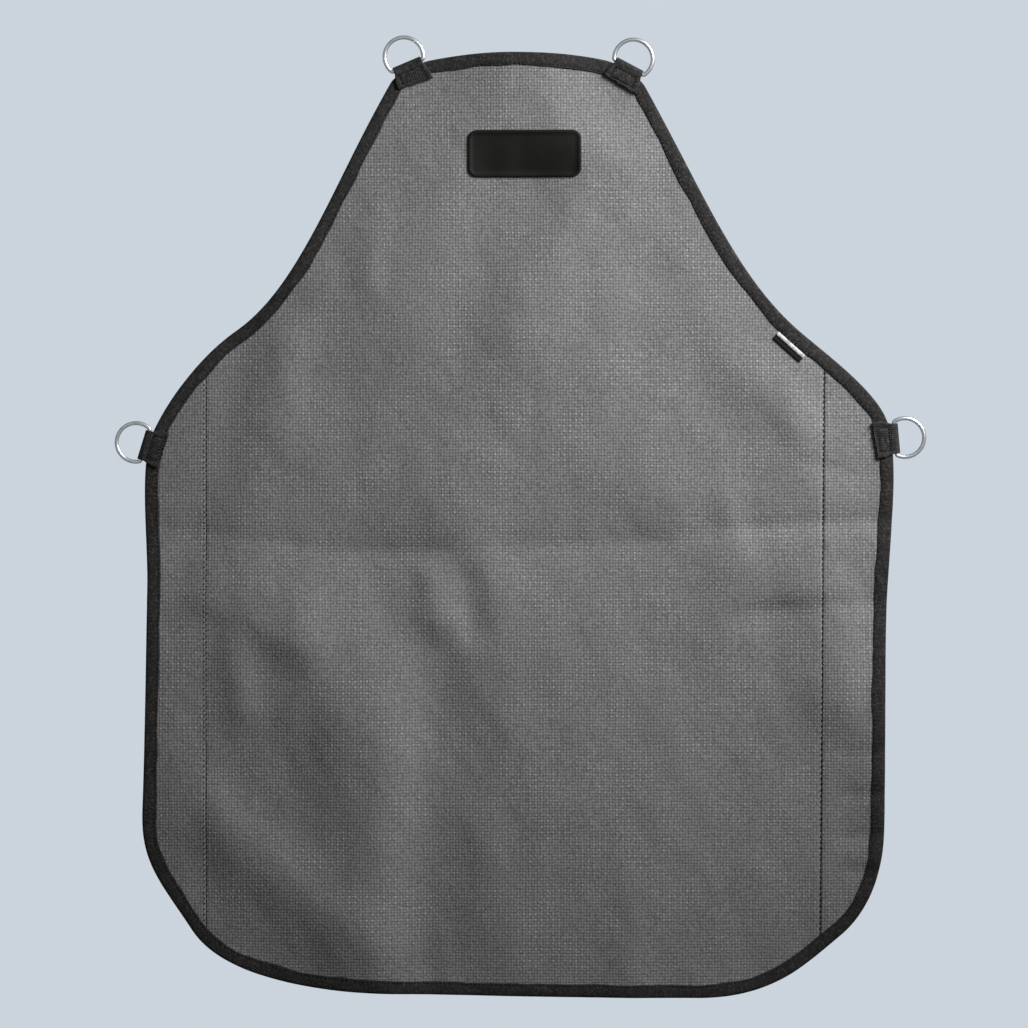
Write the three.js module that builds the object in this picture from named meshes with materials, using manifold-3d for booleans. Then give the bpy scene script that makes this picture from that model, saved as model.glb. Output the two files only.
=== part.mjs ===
// A cut-resistant work apron, hung up by the two rings of its neck strap.
//
// Three panels of plate-covered cloth are sewn edge to edge and bound all round with black tape.
// Four folded webbing tabs are stitched over the joins of the tape, two at the neck and two at
// the waist, and each tab holds a welded wire D-ring that swings on its straight bar.
// Lengths are millimetres. X runs to the right of someone facing the apron, Z runs up and the
// front of the apron faces -Y. The origin is midway between the two neck rings.

import * as THREE from 'three';
import { mergeVertices } from 'three/addons/utils/BufferGeometryUtils.js';
import Module from 'manifold-3d';

const wasm = await Module();
wasm.setup();

// ---------------------------------------------------------------- driving dimensions
const GAP = 0.3; // clearance left between pieces that touch

const CLOTH_THICKNESS = 1.2;
const BINDING_THICKNESS = 0.7;
const BINDING_WIDTH = 10.2; // how far the tape reaches in from the edge
const BINDING_ROUNDING = 0.5; // softened fold of the tape
const EDGE_STEP = 14; // longest straight run along a curved edge

const SEAM_LEFT = -254.5; // line where the left side panel meets the main one
const SEAM_RIGHT_TOP = 248.5; // the right seam leans a little
const SEAM_RIGHT_BOTTOM = 245;
const SEAM_TOP = -250;
const SEAM_BOTTOM = -742;

const THREAD_WIDTH = 0.9;
const THREAD_THICKNESS = 0.35;
const BINDING_STITCH_INSET = 8.4; // thread line, measured in from the edge

const TAB_WIDTH = 24.2; // webbing pinched inside the ring
const TAB_SEWN_WIDTH = 26.4; // the same webbing where it lies flat
const TAB_REACH = 14; // bar of the ring to the sewn end
const TAB_THICKNESS = 1.1;
const TAB_STITCH_NEAR = -4.6; // stitched box, measured outwards from the bar
const TAB_STITCH_FAR = -12.6;
const TAB_STITCH_HALF_WIDTH = 9.6;
const TAB_CLEAR = 0.6; // thread lines stop this far from the side of a tab

const RING_WIRE = 3.3; // across the flats of the eight-sided wire
const RING_RADIUS = 15.7; // middle of the wire in the round part
const RING_BAR_OFFSET = 7.8; // centre of the round part to the straight bar
const RING_CORNER_RADIUS = 2;
const RING_STEPS = 41; // odd, so that a flat lies across the far end
const RING_SEAL_LENGTH = 6; // piece of bar that joins the two wire ends

const PATCH_WIDTH = 92;
const PATCH_HEIGHT = 38.2;
const PATCH_CORNER = 7.3;
const PATCH_THICKNESS = 1.1;
const PATCH_CENTRE = [4.9, -77.8];

const LABEL_LENGTH = 29;
const LABEL_WIDTH = 7.6;
const LABEL_THICKNESS = 0.9;
const LABEL_CENTRE = [219.6, -234.8];
const LABEL_ANGLE = -42;

// Where each ring's straight bar lies, and the direction in degrees in which its tab points.
const TABS = [
  { name: 'neck_left', bar: [-90.2, -5.9], angle: 113 },
  { name: 'neck_right', bar: [89.7, -7.4], angle: 62 },
  { name: 'waist_right', bar: [306.3, -309.1], angle: 5 },
  { name: 'waist_left', bar: [-303.6, -314.6], angle: 163 },
];

// Outside edge of the apron, clockwise from the left shoulder, as cubic curves that run into
// each other smoothly: two handles and the end of each, after the starting point.
const EDGE_START = [-104, -20];
const EDGE = [
  [-101.2, -14.4, -83.6, -4.1, -72, -1.8], // left shoulder
  [-50, 2.6, -28, 4.8, -5, 4.8], // top, left half
  [22, 4.8, 48, 3.2, 70, -1.5], // top, right half
  [81.5, -3.9, 99.9, -16.3, 103.5, -24], // right shoulder
  [148, -106, 177, -176, 225, -219], // right armhole
  [246, -238, 294, -271, 301, -299], // right waist corner
  [309, -331, 303, -380, 300, -432], // right side below the tab
  [297, -480, 298, -570, 297, -627], // right side of the skirt
  [296, -668, 281, -697, 262, -713], // right hem corner, upper part
  [228, -742, 205, -763, 148, -764], // right hem corner, lower part
  [60, -764, -20, -762, -96, -761], // hem
  [-180, -760, -244, -743, -266, -709], // left hem corner, lower part
  [-292, -669, -308, -655, -306, -611], // left hem corner, upper part
  [-304, -560, -303, -490, -302, -432], // left side of the skirt
  [-301, -395, -309, -332, -298, -306], // left side below the tab
  [-286, -278, -258, -241, -229, -221], // left waist corner
  [-177, -184, -152, -104, -104, -20], // left armhole
];

// ---------------------------------------------------------------- looks
function material(colour, roughness, metalness = 0) {
  return new THREE.MeshStandardMaterial({ color: colour, roughness, metalness });
}

const plateCloth = material(0x6d6f6f, 0.75);
const bindingTape = material(0x262626, 0.9);
const webbing = material(0x2b2a29, 0.9);
const thread = material(0x151515, 0.8);
const chrome = material(0xc9ccd0, 0.15, 1);
const rubber = material(0x1f211c, 0.6);
const labelCloth = material(0xd9d9d4, 0.8);

// ---------------------------------------------------------------- solids that are cut or joined
function toSolid(geometry) {
  const bare = geometry.clone();
  bare.deleteAttribute('normal');
  bare.deleteAttribute('uv');
  const merged = mergeVertices(bare, 1e-5);
  const mesh = new wasm.Mesh({
    numProp: 3,
    vertProperties: Float32Array.from(merged.attributes.position.array),
    triVerts: Uint32Array.from(merged.index.array),
  });
  return new wasm.Manifold(mesh);
}

function toGeometry(solid) {
  const mesh = solid.getMesh();
  const geometry = new THREE.BufferGeometry();
  geometry.setAttribute('position', new THREE.BufferAttribute(mesh.vertProperties, 3));
  geometry.setIndex(new THREE.BufferAttribute(mesh.triVerts, 1));
  geometry.computeVertexNormals();
  return geometry;
}

// ---------------------------------------------------------------- the apron's edge
// Points along the edge with the direction that leads away from the cloth at each.
function edgeSamples() {
  const samples = [];
  let start = new THREE.Vector2(...EDGE_START);
  let travelled = 0;
  for (const [ax, ay, bx, by, ex, ey] of EDGE) {
    const end = new THREE.Vector2(ex, ey);
    const first = new THREE.Vector2(ax, ay);
    const second = new THREE.Vector2(bx, by);
    const curve = new THREE.CubicBezierCurve(start, first, second, end);
    const length = curve.getLength();
    const steps = Math.max(5, Math.ceil(length / EDGE_STEP));
    for (let i = 0; i < steps; i += 1) {
      const point = curve.getPointAt(i / steps);
      const along = curve.getTangentAt(i / steps);
      const away = new THREE.Vector2(-along.y, along.x);
      samples.push({ point, away, distance: travelled + (length * i) / steps });
    }
    travelled += length;
    start = end;
  }
  return { samples, travelled };
}

const { samples: EDGE_SAMPLES, travelled: EDGE_LENGTH } = edgeSamples();

// The edge moved into the cloth by a distance, as a closed outline.
function outlineInside(inset) {
  const points = EDGE_SAMPLES.map(({ point, away }) => point.clone().addScaledVector(away, -inset));
  return new THREE.Shape(points);
}

// A flat piece with its back at one depth and its front at another.
function slab(shape, back, front) {
  const geometry = new THREE.ExtrudeGeometry(shape, {
    depth: front - back,
    bevelEnabled: false,
    curveSegments: 6,
  });
  return geometry.translate(0, 0, back);
}

function edgeDistanceNear([x, y]) {
  const spot = new THREE.Vector2(x, y);
  let nearest = EDGE_SAMPLES[0];
  for (const sample of EDGE_SAMPLES) {
    if (sample.point.distanceTo(spot) < nearest.point.distanceTo(spot)) {
      nearest = sample;
    }
  }
  return nearest.distance;
}

// ---------------------------------------------------------------- building the scene
const apron = new THREE.Group();
apron.rotation.x = Math.PI / 2; // modelled flat with its front towards +Z, then stood up

function addMesh(parent, name, geometry, look) {
  const mesh = new THREE.Mesh(geometry, look);
  mesh.name = name;
  parent.add(mesh);
  return mesh;
}

const CLOTH_FRONT = CLOTH_THICKNESS / 2;
const CLOTH_BACK = -CLOTH_FRONT;
const TAPE_FRONT = CLOTH_FRONT + GAP + BINDING_THICKNESS;

// ---------------------------------------------------------------- cloth panels
const cloth = toSolid(slab(outlineInside(BINDING_THICKNESS + GAP), CLOTH_BACK, CLOTH_FRONT));

// A tall block that covers everything to one side of a seam.
function besideSeam(top, bottom, side) {
  const slope = (top - bottom) / (SEAM_TOP - SEAM_BOTTOM);
  const high = top + slope * (100 - SEAM_TOP);
  const low = bottom - slope * (SEAM_BOTTOM + 900);
  const far = side * 500;
  const shape = new THREE.Shape([
    new THREE.Vector2(high + (side * GAP) / 2, 100),
    new THREE.Vector2(low + (side * GAP) / 2, -900),
    new THREE.Vector2(far, -900),
    new THREE.Vector2(far, 100),
  ]);
  return toSolid(slab(shape, -5, 5));
}

const leftOfLeftSeam = besideSeam(SEAM_LEFT, SEAM_LEFT, -1);
const rightOfLeftSeam = besideSeam(SEAM_LEFT, SEAM_LEFT, 1);
const leftOfRightSeam = besideSeam(SEAM_RIGHT_TOP, SEAM_RIGHT_BOTTOM, -1);
const rightOfRightSeam = besideSeam(SEAM_RIGHT_TOP, SEAM_RIGHT_BOTTOM, 1);

const mainCloth = cloth.intersect(rightOfLeftSeam).intersect(leftOfRightSeam);
addMesh(apron, 'main_panel', toGeometry(mainCloth), plateCloth);
addMesh(apron, 'left_side_panel', toGeometry(cloth.intersect(leftOfLeftSeam)), plateCloth);
addMesh(apron, 'right_side_panel', toGeometry(cloth.intersect(rightOfRightSeam)), plateCloth);

// ---------------------------------------------------------------- binding tape and its thread
// A closed strip beside the edge, from the middle of one tab to the middle of the next.
function edgeStrip(from, to, outerInset, innerInset) {
  const total = EDGE_LENGTH;
  const first = edgeDistanceNear(from.bar);
  let last = edgeDistanceNear(to.bar);
  if (last < first) {
    last += total;
  }
  const outer = [];
  const inner = [];
  for (const lap of [0, total]) {
    for (const { point, away, distance } of EDGE_SAMPLES) {
      const place = distance + lap;
      if (place >= first && place <= last) {
        // both ends stop short of the tab's middle, so that neighbours don't touch
        const shift = (place === first ? -GAP / 2 : 0) + (place === last ? GAP / 2 : 0);
        const start = point.clone().addScaledVector(new THREE.Vector2(-away.y, away.x), shift);
        outer.push(start.clone().addScaledVector(away, -outerInset));
        inner.push(start.clone().addScaledVector(away, -innerInset));
      }
    }
  }
  return new THREE.Shape([...outer, ...inner.reverse()]);
}

// A folded tape: a rounded plate with a slot for the cloth and an opening for the field.
const tapePlate = new THREE.ExtrudeGeometry(outlineInside(BINDING_ROUNDING), {
  depth: 2 * (TAPE_FRONT - BINDING_ROUNDING),
  bevelThickness: BINDING_ROUNDING,
  bevelSize: BINDING_ROUNDING,
  bevelSegments: 1,
});
tapePlate.translate(0, 0, BINDING_ROUNDING - TAPE_FRONT);
const clothSlot = slab(outlineInside(BINDING_THICKNESS), CLOTH_BACK - GAP, CLOTH_FRONT + GAP);
const field = slab(outlineInside(BINDING_WIDTH), -5, 5);
const tape = toSolid(tapePlate).subtract(toSolid(clothSlot)).subtract(toSolid(field));

function binding(name, from, to) {
  const length = toSolid(slab(edgeStrip(from, to, -5, BINDING_WIDTH + 3), -5, 5));
  addMesh(apron, name, toGeometry(tape.intersect(length)), bindingTape);
}

// A block over a tab, with some room at its sides.
function tabBlock({ bar, angle }) {
  const block = new THREE.BoxGeometry(TAB_SEWN_WIDTH + 2 * TAB_CLEAR, 3 * TAB_REACH, 20);
  block.rotateZ(THREE.MathUtils.degToRad(angle - 90));
  block.translate(...bar, 0);
  return toSolid(block);
}

// The part of a binding's thread that shows between two tabs.
function bindingThread(name, from, to) {
  const inset = BINDING_STITCH_INSET;
  const back = TAPE_FRONT + GAP;
  const strip = slab(edgeStrip(from, to, inset, inset + THREAD_WIDTH), back, back + THREAD_THICKNESS);
  const line = toSolid(strip).subtract(tabBlock(from)).subtract(tabBlock(to));
  addMesh(apron, name, toGeometry(line), thread);
}

const [neckLeft, neckRight, waistRight, waistLeft] = TABS;
for (const [name, from, to] of [
  ['top', neckLeft, neckRight],
  ['right_armhole', neckRight, waistRight],
  ['skirt', waistRight, waistLeft],
  ['left_armhole', waistLeft, neckLeft],
]) {
  binding(`${name}_binding`, from, to);
  bindingThread(`${name}_binding_stitch`, from, to);
}

// A straight line of thread down the middle of a seam, from tape to tape.
function seamThread(name, top, bottom) {
  const lean = Math.atan2(top - bottom, SEAM_TOP - SEAM_BOTTOM);
  const middle = (SEAM_TOP + SEAM_BOTTOM) / 2;
  const back = CLOTH_FRONT + GAP;
  const line = new THREE.BoxGeometry(THREAD_WIDTH, SEAM_TOP - SEAM_BOTTOM + 50, THREAD_THICKNESS);
  line.rotateZ(-lean);
  line.translate((top + bottom) / 2, middle, back + THREAD_THICKNESS / 2);
  const betweenTapes = toSolid(slab(outlineInside(BINDING_WIDTH + GAP), 0, 5));
  addMesh(apron, name, toGeometry(toSolid(line).intersect(betweenTapes)), thread);
}

seamThread('left_seam_stitch', SEAM_LEFT, SEAM_LEFT);
seamThread('right_seam_stitch', SEAM_RIGHT_TOP, SEAM_RIGHT_BOTTOM);

// ---------------------------------------------------------------- chest patch and side label
function roundedRectangle(width, height, radius) {
  const x = width / 2;
  const y = height / 2;
  const shape = new THREE.Shape();
  shape.moveTo(-x + radius, -y);
  shape.lineTo(x - radius, -y);
  shape.absarc(x - radius, -y + radius, radius, -Math.PI / 2, 0);
  shape.lineTo(x, y - radius);
  shape.absarc(x - radius, y - radius, radius, 0, Math.PI / 2);
  shape.lineTo(-x + radius, y);
  shape.absarc(-x + radius, y - radius, radius, Math.PI / 2, Math.PI);
  shape.lineTo(-x, -y + radius);
  shape.absarc(-x + radius, -y + radius, radius, Math.PI, (3 * Math.PI) / 2);
  return shape;
}

const patchShape = roundedRectangle(PATCH_WIDTH, PATCH_HEIGHT, PATCH_CORNER);
const patch = addMesh(apron, 'chest_patch', slab(patchShape, 0, PATCH_THICKNESS), rubber);
patch.position.set(...PATCH_CENTRE, CLOTH_FRONT + GAP);

const labelBox = new THREE.BoxGeometry(LABEL_LENGTH, LABEL_WIDTH, LABEL_THICKNESS);
const label = addMesh(apron, 'side_label', labelBox, labelCloth);
label.position.set(...LABEL_CENTRE, CLOTH_FRONT + GAP + LABEL_THICKNESS / 2);
label.rotation.z = THREE.MathUtils.degToRad(LABEL_ANGLE);

// ---------------------------------------------------------------- tabs and rings
// Middle line of the ring's wire, from the middle of the bar round to the same place.
// The bar lies on y = 0 and the round part bulges towards +y.
function ringPath() {
  const half = Math.sqrt(RING_RADIUS ** 2 - RING_BAR_OFFSET ** 2);
  const tilt = Math.asin(RING_BAR_OFFSET / RING_RADIUS);
  // the corner's centre is inside the round part and above the bar by the corner's radius
  const cornerY = RING_CORNER_RADIUS;
  const reach = RING_RADIUS - RING_CORNER_RADIUS;
  const cornerX = Math.sqrt(reach ** 2 - (RING_BAR_OFFSET - cornerY) ** 2);
  const turn = Math.atan2(cornerY - RING_BAR_OFFSET, cornerX);
  if (cornerX > half || turn > tilt) {
    throw new Error('the ring corner does not fit between the bar and the round part');
  }
  const path = new THREE.Path();
  path.moveTo(0, 0);
  path.lineTo(cornerX, 0);
  path.absarc(cornerX, cornerY, RING_CORNER_RADIUS, -Math.PI / 2, turn);
  path.absarc(0, RING_BAR_OFFSET, RING_RADIUS, turn, Math.PI - turn);
  path.absarc(-cornerX, cornerY, RING_CORNER_RADIUS, Math.PI - turn, (3 * Math.PI) / 2);
  path.lineTo(0, 0);
  return path;
}

// The same flat line as a curve in space, which the wire is swept along.
class FlatCurve extends THREE.Curve {
  constructor(path) {
    super();
    this.path = path;
  }

  getPoint(t, target = new THREE.Vector3()) {
    const flat = this.path.getPointAt(t);
    return target.set(flat.x, flat.y, 0);
  }
}

function wireSection() {
  const corner = RING_WIRE / 2 / Math.cos(Math.PI / 8);
  const points = [];
  for (let i = 0; i < 8; i += 1) {
    const angle = Math.PI / 8 + (i * Math.PI) / 4;
    points.push(new THREE.Vector2(corner * Math.cos(angle), corner * Math.sin(angle)));
  }
  return new THREE.Shape(points);
}

function ringGeometry() {
  const wire = new THREE.ExtrudeGeometry(wireSection(), {
    steps: RING_STEPS,
    extrudePath: new FlatCurve(ringPath()),
    bevelEnabled: false,
  });
  const seal = slab(wireSection(), -RING_SEAL_LENGTH / 2, RING_SEAL_LENGTH / 2);
  seal.rotateY(Math.PI / 2);
  return toGeometry(toSolid(wire).add(toSolid(seal)));
}

// Side view of the folded webbing: x leads away from the apron, y towards the front.
function tabProfile() {
  const inner = RING_WIRE / 2 + GAP;
  const outer = inner + TAB_THICKNESS;
  const shape = new THREE.Shape();
  shape.moveTo(-TAB_REACH, inner);
  shape.lineTo(0, inner);
  shape.absarc(0, 0, inner, Math.PI / 2, -Math.PI / 2, true);
  shape.lineTo(-TAB_REACH, -inner);
  shape.lineTo(-TAB_REACH, -outer);
  shape.lineTo(0, -outer);
  shape.absarc(0, 0, outer, -Math.PI / 2, Math.PI / 2, false);
  shape.lineTo(-TAB_REACH, outer);
  return shape;
}

function tabGeometry() {
  const geometry = slab(tabProfile(), -TAB_WIDTH / 2, TAB_WIDTH / 2);
  const position = geometry.attributes.position;
  const flare = TAB_SEWN_WIDTH / TAB_WIDTH - 1;
  for (let i = 0; i < position.count; i += 1) {
    const sewn = Math.max(0, -position.getX(i) / TAB_REACH);
    position.setZ(i, position.getZ(i) * (1 + flare * sewn));
  }
  return geometry;
}

// A box of stitching, seen from the front.
function tabStitchGeometry() {
  const outline = (grow) => [
    new THREE.Vector2(-TAB_STITCH_HALF_WIDTH - grow, TAB_STITCH_FAR - grow),
    new THREE.Vector2(TAB_STITCH_HALF_WIDTH + grow, TAB_STITCH_FAR - grow),
    new THREE.Vector2(TAB_STITCH_HALF_WIDTH + grow, TAB_STITCH_NEAR + grow),
    new THREE.Vector2(-TAB_STITCH_HALF_WIDTH - grow, TAB_STITCH_NEAR + grow),
  ];
  const shape = new THREE.Shape(outline(THREAD_WIDTH / 2));
  shape.holes.push(new THREE.Path(outline(-THREAD_WIDTH / 2)));
  return slab(shape, 0, THREAD_THICKNESS);
}

const TAB_FRONT = RING_WIRE / 2 + GAP + TAB_THICKNESS;
const profileToTab = new THREE.Matrix4().makeBasis(
  new THREE.Vector3(0, 1, 0),
  new THREE.Vector3(0, 0, 1),
  new THREE.Vector3(1, 0, 0),
);

for (const { name, bar, angle } of TABS) {
  const place = new THREE.Group();
  place.position.set(...bar, 0);
  place.rotation.z = THREE.MathUtils.degToRad(angle - 90);
  apron.add(place);

  const tab = addMesh(place, `${name}_tab`, tabGeometry(), webbing);
  tab.setRotationFromMatrix(profileToTab);
  const stitch = addMesh(place, `${name}_tab_stitch`, tabStitchGeometry(), thread);
  stitch.position.z = TAB_FRONT + GAP;
  addMesh(place, `${name}_ring`, ringGeometry(), chrome);
}

export default apron;
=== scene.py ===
import bisect
import math

import bmesh
import bpy
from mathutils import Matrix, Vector, noise
from mathutils.geometry import delaunay_2d_cdt

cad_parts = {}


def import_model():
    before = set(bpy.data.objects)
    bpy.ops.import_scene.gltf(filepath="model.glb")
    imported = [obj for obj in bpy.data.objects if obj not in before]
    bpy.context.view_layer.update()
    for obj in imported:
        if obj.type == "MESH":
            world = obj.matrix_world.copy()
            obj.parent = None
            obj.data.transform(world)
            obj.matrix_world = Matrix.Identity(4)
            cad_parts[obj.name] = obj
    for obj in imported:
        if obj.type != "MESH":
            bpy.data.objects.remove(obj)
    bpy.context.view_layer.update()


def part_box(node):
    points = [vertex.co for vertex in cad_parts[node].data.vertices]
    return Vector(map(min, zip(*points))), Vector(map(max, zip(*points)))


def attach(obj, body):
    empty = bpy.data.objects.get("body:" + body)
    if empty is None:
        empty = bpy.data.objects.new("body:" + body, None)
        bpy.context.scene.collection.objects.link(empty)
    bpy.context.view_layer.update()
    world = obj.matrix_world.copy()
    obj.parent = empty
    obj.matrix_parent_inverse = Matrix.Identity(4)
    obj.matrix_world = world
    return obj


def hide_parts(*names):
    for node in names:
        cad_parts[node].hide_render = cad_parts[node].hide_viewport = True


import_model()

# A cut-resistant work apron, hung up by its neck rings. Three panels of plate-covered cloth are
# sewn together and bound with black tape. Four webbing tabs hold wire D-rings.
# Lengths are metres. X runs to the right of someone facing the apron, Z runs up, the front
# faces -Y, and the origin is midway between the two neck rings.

MM = 0.001

# -------- sizes shared with the CAD
CLOTH_HALF = 0.6 * MM  # half the cloth's thickness
CLOTH_INSET = 1.0 * MM  # the cloth's cut edge, inside the fold of the tape
TAPE_WIDTH = 10.2 * MM
TAPE_SPREAD = 0.8 * MM  # how much wider the tape is pressed along its inner edge
STITCH_INSET = 8.85 * MM
SEAM_TOP = -0.250  # the levels between which the right seam's lean is given
SEAM_BOTTOM = -0.742

RING_WIRE = 1.65 * MM
RING_RADIUS = 15.7 * MM
RING_BAR_OFFSET = 7.8 * MM
RING_CORNER = 2 * MM

TAB_WIDTH = 24.2 * MM
TAB_SEWN_WIDTH = 26.4 * MM
TAB_REACH = 14 * MM
TAB_THICKNESS = 1.1 * MM
TAB_TURN = RING_WIRE + 0.3 * MM + TAB_THICKNESS / 2  # bar's centre to the webbing's middle
TAB_ROWS = (-4.6 * MM, -12.6 * MM)
TAB_STITCH_HALF = 9.6 * MM

# Each tab: the middle of its ring's bar (x, z) and the direction it points in, in degrees.
TABS = {
    "neck_left": (Vector((-0.0902, -0.0059)), 113),
    "neck_right": (Vector((0.0897, -0.0074)), 62),
    "waist_right": (Vector((0.3063, -0.3091)), 5),
    "waist_left": (Vector((-0.3036, -0.3146)), 163),
}

# Outside edge, clockwise from the left shoulder, as cubic curves in millimetres: two handles
# and the end of each.
EDGE_START = (-104, -20)
EDGE = (
    (-101.2, -14.4, -83.6, -4.1, -72, -1.8),  # left shoulder
    (-50, 2.6, -28, 4.8, -5, 4.8),  # top, left half
    (22, 4.8, 48, 3.2, 70, -1.5),  # top, right half
    (81.5, -3.9, 99.9, -16.3, 103.5, -24),  # right shoulder
    (148, -106, 177, -176, 225, -219),  # right armhole
    (246, -238, 294, -271, 301, -299),  # right waist corner
    (309, -331, 303, -380, 300, -432),  # right side below the tab
    (297, -480, 298, -570, 297, -627),  # right side of the skirt
    (296, -668, 281, -697, 262, -713),  # right hem corner, upper part
    (228, -742, 205, -763, 148, -764),  # right hem corner, lower part
    (60, -764, -20, -762, -96, -761),  # hem
    (-180, -760, -244, -743, -266, -709),  # left hem corner, lower part
    (-292, -669, -308, -655, -306, -611),  # left hem corner, upper part
    (-304, -560, -303, -490, -302, -432),  # left side of the skirt
    (-301, -395, -309, -332, -298, -306),  # left side below the tab
    (-286, -278, -258, -241, -229, -221),  # left waist corner
    (-177, -184, -152, -104, -104, -20),  # left armhole
)
CURVE_STEPS = 48
CLOTH_STEP = 4 * MM
TAPE_STEP = 3 * MM


# -------- the edge of the apron
def smooth(low, high, value):
    """0 below low, 1 above high and a smooth rise between them. low may be above high."""
    t = min(1.0, max(0.0, (value - low) / (high - low)))
    return t * t * (3 - 2 * t)


def dense_edge():
    """The edge's points, how far along it each is, and the direction away from the cloth."""
    points = []
    start = Vector(EDGE_START)
    for numbers in EDGE:
        first, second, end = (Vector(numbers[i : i + 2]) for i in (0, 2, 4))
        for i in range(CURVE_STEPS):
            t = i / CURVE_STEPS
            s = 1 - t
            curve = start * s**3 + first * 3 * s * s * t + second * 3 * s * t * t + end * t**3
            points.append(curve * MM)
        start = end
    away = []
    along = [0.0]
    for i, point in enumerate(points):
        ahead = points[(i + 1) % len(points)]
        tangent = (ahead - points[i - 1]).normalized()
        away.append(Vector((-tangent.y, tangent.x)))
        along.append(along[-1] + (ahead - point).length)
    return points, along, away


EDGE_POINTS, EDGE_ALONG, EDGE_AWAY = dense_edge()
EDGE_LENGTH = EDGE_ALONG[-1]


def edge_at(distance):
    """(point, direction away from the cloth) at a distance along the edge."""
    place = distance % EDGE_LENGTH
    i = bisect.bisect_right(EDGE_ALONG, place) - 1
    j = (i + 1) % len(EDGE_POINTS)
    t = (place - EDGE_ALONG[i]) / (EDGE_ALONG[i + 1] - EDGE_ALONG[i])
    return EDGE_POINTS[i].lerp(EDGE_POINTS[j], t), EDGE_AWAY[i].lerp(EDGE_AWAY[j], t).normalized()


def edge_near(spot):
    """How far along the edge the point nearest to a spot lies."""
    nearest = min(range(len(EDGE_POINTS)), key=lambda i: (EDGE_POINTS[i] - spot).length)
    return EDGE_ALONG[nearest]


def evenly(start, end, step):
    """Numbers from start to end, both included, about a step apart."""
    count = max(1, round((end - start) / step))
    return [start + (end - start) * i / count for i in range(count + 1)]


# -------- how the cloth lies
# Folds left by packing and hanging, in millimetres: x and z where it starts and where it ends, the
# width on the left and on the right of that direction, and the height towards the front. True
# makes it a sharp crease.
FOLDS = (
    # packing crease across the middle, a valley with a long slope above and below it
    (-320, -378, -130, -402, 20, 50, -3.4, True),
    (-180, -401, -20, -401, 26, 44, -5, True),
    (-70, -401, 185, -388, 26, 40, -4, True),
    # small pucker that hangs from the crease
    (-76, -402, -62, -478, 14, 11, 2.4),
    (-45, -400, -34, -488, 13, 11, -2.5),
    (-92, -438, -30, -500, 18, 14, 1),
    # diagonal fold below the left armhole
    (-286, -420, -140, -492, 58, 20, 4.3),
    (-215, -444, -105, -590, 42, 36, 3.1),
    (-236, -450, -222, -560, 15, 13, 2.9),
    # long soft pleat down to the hem, and the valley beside it
    (-112, -430, -124, -800, 32, 60, 5.2),
    (-72, -455, -68, -820, 40, 26, -4),
    (0, -520, 40, -640, 22, 26, 1.2),
    (-62, -690, -54, -800, 9, 9, 1),
    (85, -640, 100, -800, 14, 18, 1.2),
    # diagonal fold above the lower left corner
    (-295, -580, -85, -755, 26, 30, 4.6),
    # short creases from the right side
    (120, -386, 355, -371, 14, 11, -3, True),
    (160, -453, 330, -438, 12, 18, -2.4, True),
    (140, -442, 285, -424, 40, 13, 2),
    (215, -326, 355, -348, 11, 8, -2.7, True),
    (150, -224, 274, -340, 22, 18, 2.1),
    (160, -330, 190, -440, 12, 16, 1.8),
    (259, -405, 256, -565, 22, 34, 4),
    (288, -425, 302, -770, 30, 52, 5.8),
    (250, -566, 330, -560, 4, 6, -0.9, True),
    (250, -600, 330, -596, 4, 6, -1.2, True),
    (250, -634, 330, -628, 4, 6, -1.3, True),
    (250, -662, 330, -658, 4, 6, -1.2, True),
    # soft diagonals and streaks across the chest
    (88, 20, 20, -115, 40, 85, 3.4),
    (-135, 4, 110, 4, 30, 52, 3.4),
    (130, 10, -50, -305, 75, 34, 5.2),
    (-112, -80, -126, -215, 13, 12, 1),
    (-45, -30, -82, -290, 18, 20, 1.4),
    (-180, -200, -208, -330, 20, 22, 2.4),
    (11.7, -225, 11.7, -362, 4, 4, -0.4, True),
    (120, -120, 80, -330, 34, 30, -1.4),
)
CREASE_ROUNDING = 1.6 * MM
FOLD_FADE = 0.3  # the share of its length over which a fold fades at each end
# Gentle waves over the whole cloth: height, how many to a metre in x and in z, and a seed.
WAVES = (
    (2.4 * MM, 4.1, 3.3, 1.7),
    (2.0 * MM, 15, 9, 5.2),
    (0.8 * MM, 38, 24, 8.4),
    (0.3 * MM, 80, 60, 3.1),
)
CROWN = 2.0 * MM  # how far the middle stands out in front of the tabs
CROWN_HALF_WIDTH = 0.31
CROWN_LENGTH = 0.80
# Each lower corner (x, z), how far it curls back and how far away the curl begins.
CORNER_CURLS = (
    (Vector((-0.300, -0.760)), 5.0 * MM, 0.24),
    (Vector((0.290, -0.765)), 2.0 * MM, 0.20),
)
STILL_NEAR_TAB = 0.022  # the cloth is held flat this close to a tab
FREE_FROM_TAB = 0.085


def fold_height(x, z, numbers, sharp=False):
    """One fold's height at a place."""
    start_x, start_z, end_x, end_z, left, right, height = (number / 1000 for number in numbers)
    run_x, run_z = end_x - start_x, end_z - start_z
    length = math.hypot(run_x, run_z)
    off_x, off_z = x - start_x, z - start_z
    along = (off_x * run_x + off_z * run_z) / length**2
    if not 0 < along < 1:
        return 0.0
    side = (run_x * off_z - run_z * off_x) / length
    width = left if side > 0 else right
    if sharp:
        rounded = math.hypot(side, CREASE_ROUNDING) - CREASE_ROUNDING
        shape = math.exp(-rounded / width)
    else:
        shape = math.exp(-((side / width) ** 2))
    return height * shape * smooth(0, FOLD_FADE, along) * smooth(1, 1 - FOLD_FADE, along)


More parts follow.
